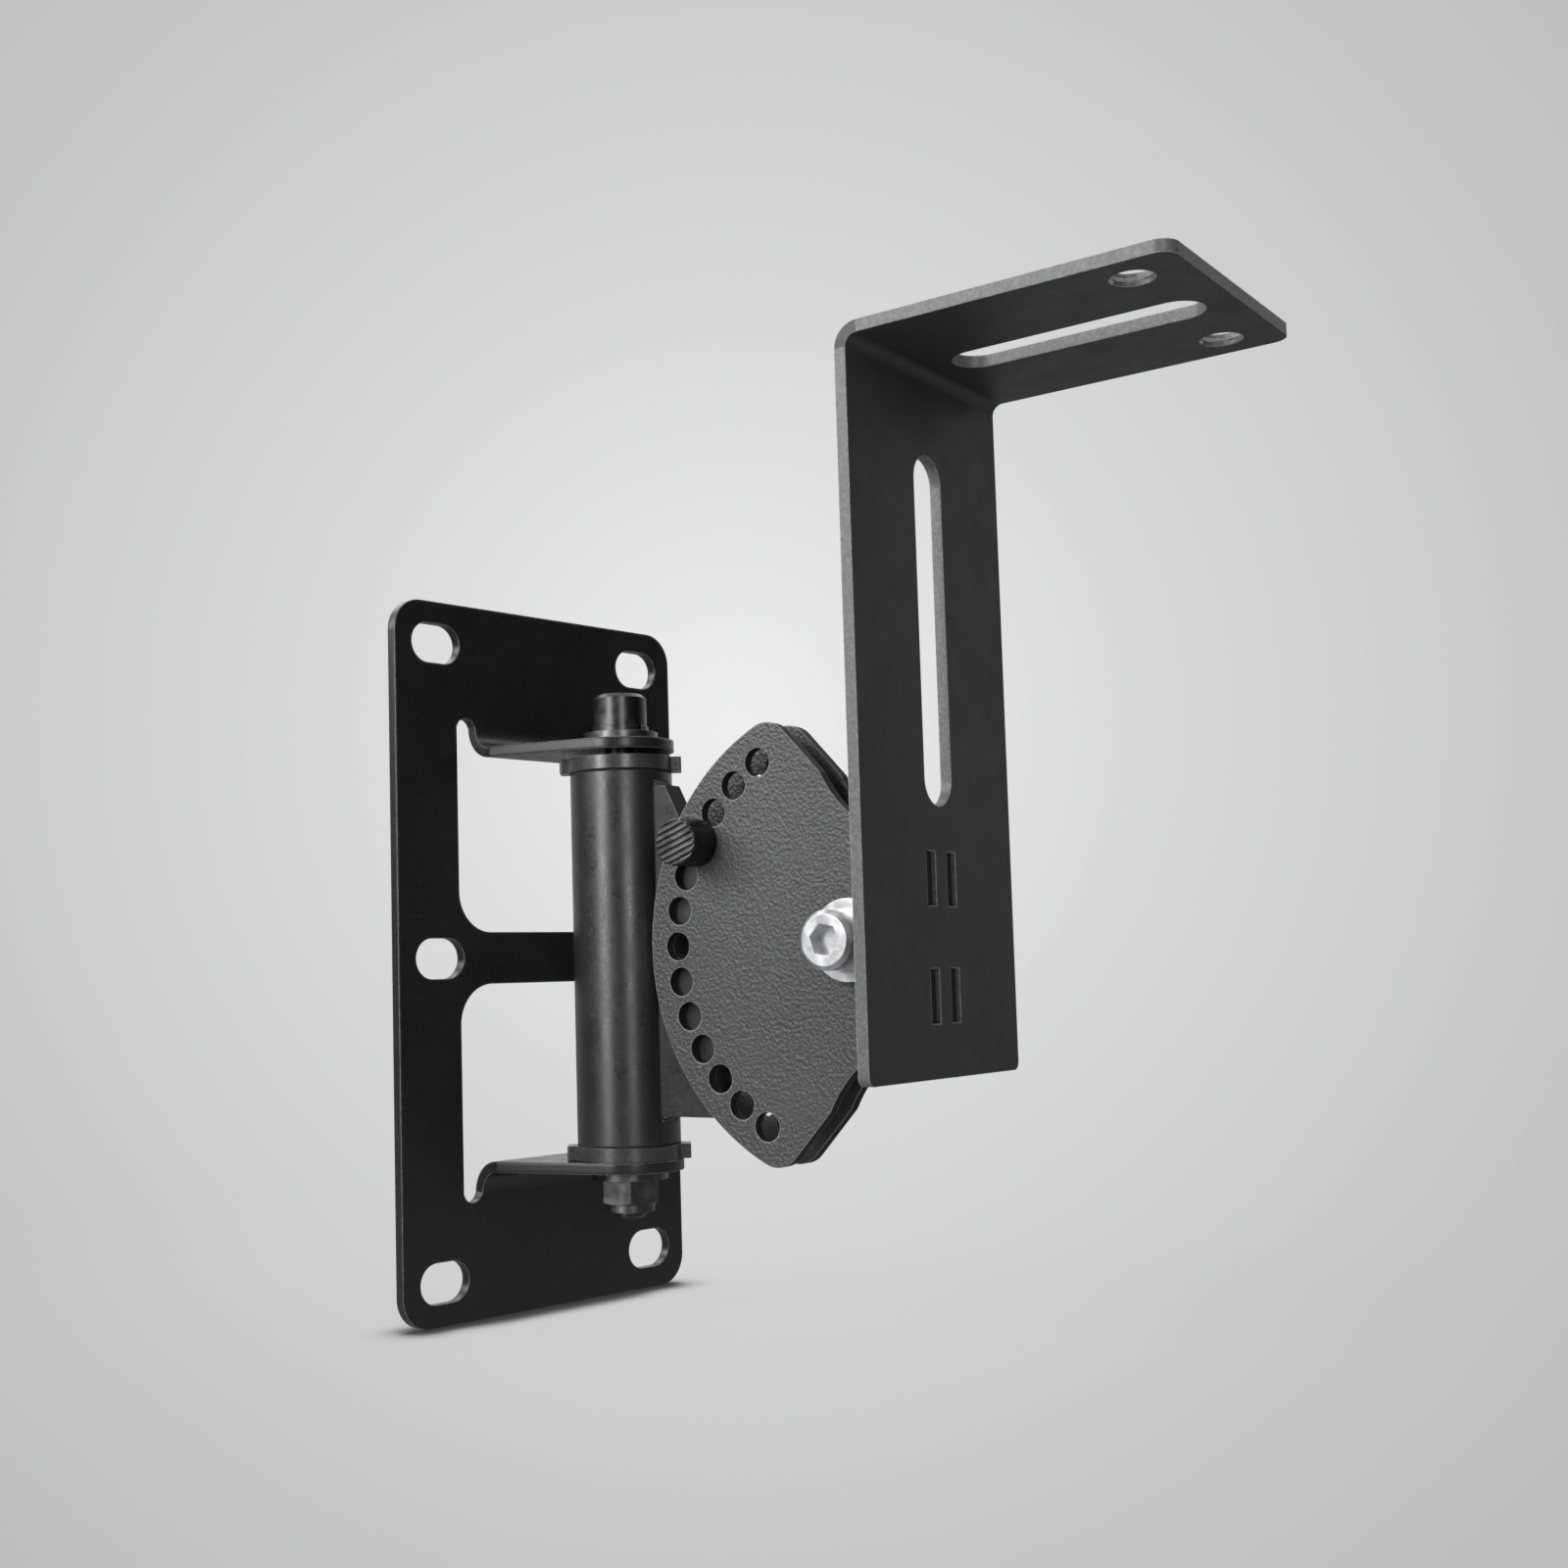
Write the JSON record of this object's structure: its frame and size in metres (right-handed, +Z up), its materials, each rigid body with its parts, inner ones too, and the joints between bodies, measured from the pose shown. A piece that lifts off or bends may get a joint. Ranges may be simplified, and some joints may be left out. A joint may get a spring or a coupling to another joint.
{
  "type": "speaker wall bracket",
  "caption": "Swivelling and tilting wall bracket for a small loudspeaker: slotted wall plate with ears, vertical hinge tube, indexed tilt plates and a folded mounting angle.",
  "frame": {"origin": "middle of the wall plate's back face, on the wall", "axes": "+X out of the wall, +Z up, +Y across the plate; the arm stands swung 7.5 degrees from +X towards +Y"},
  "size_m": [0.1469, 0.0757, 0.1645],
  "materials": {
    "plate_paint": "smooth satin black powder coat",
    "angle_paint": "fine satin black powder coat",
    "sector_paint": "coarse orange-peel black powder coat",
    "hinge_paint": "satin black powder coat",
    "bush_nylon": "black nylon",
    "nut_nylon": "dark nylon insert",
    "black_oxide": "black oxide",
    "zinc": "bright zinc plate",
    "pin_black": "black oxide, worn grey on the ridged end"
  },
  "bodies": {
    "wall": {"wall_plate": "plate_paint", "hinge_bolt": "black_oxide", "hinge_lock_washer": "black_oxide", "hinge_washer_top": "black_oxide", "hinge_washer_bottom": "black_oxide", "hinge_nut": "black_oxide", "hinge_nut_ring": "nut_nylon"},
    "swivel": {"pivot_tube": "hinge_paint", "upper_bush": "bush_nylon", "lower_bush": "bush_nylon", "tongue_plate": "hinge_paint", "tongue_welds": "hinge_paint"},
    "arm": {"sector_plate_near": "sector_paint", "sector_plate_far": "sector_paint", "sector_welds": "angle_paint", "speaker_angle": "angle_paint", "tilt_bolt": "zinc", "tilt_lock_washer": "zinc", "tilt_washer_near": "zinc", "tilt_washer_far": "zinc", "tilt_nut": "zinc", "tilt_nut_ring": "nut_nylon"},
    "pin": {"index_pin": "pin_black"}
  },
  "joints": [
    {"name": "swivel_hinge", "type": "hinge", "parent": "wall", "child": "swivel", "pos_m": [0.024, 0, 0], "axis": [0, 0, 1], "range_deg": [-82, 67]},
    {"name": "tilt_hinge", "type": "hinge", "parent": "swivel", "child": "arm", "pos_m": [0.07556, 0.00679, 0.001], "axis": [-0.1305, 0.9914, 0], "range_deg": [0, 60]},
    {"name": "pin_pull", "type": "slide", "parent": "arm", "child": "pin", "axis": [0.1305, -0.9914, 0], "range_m": [0, 0.013]}
  ]
}
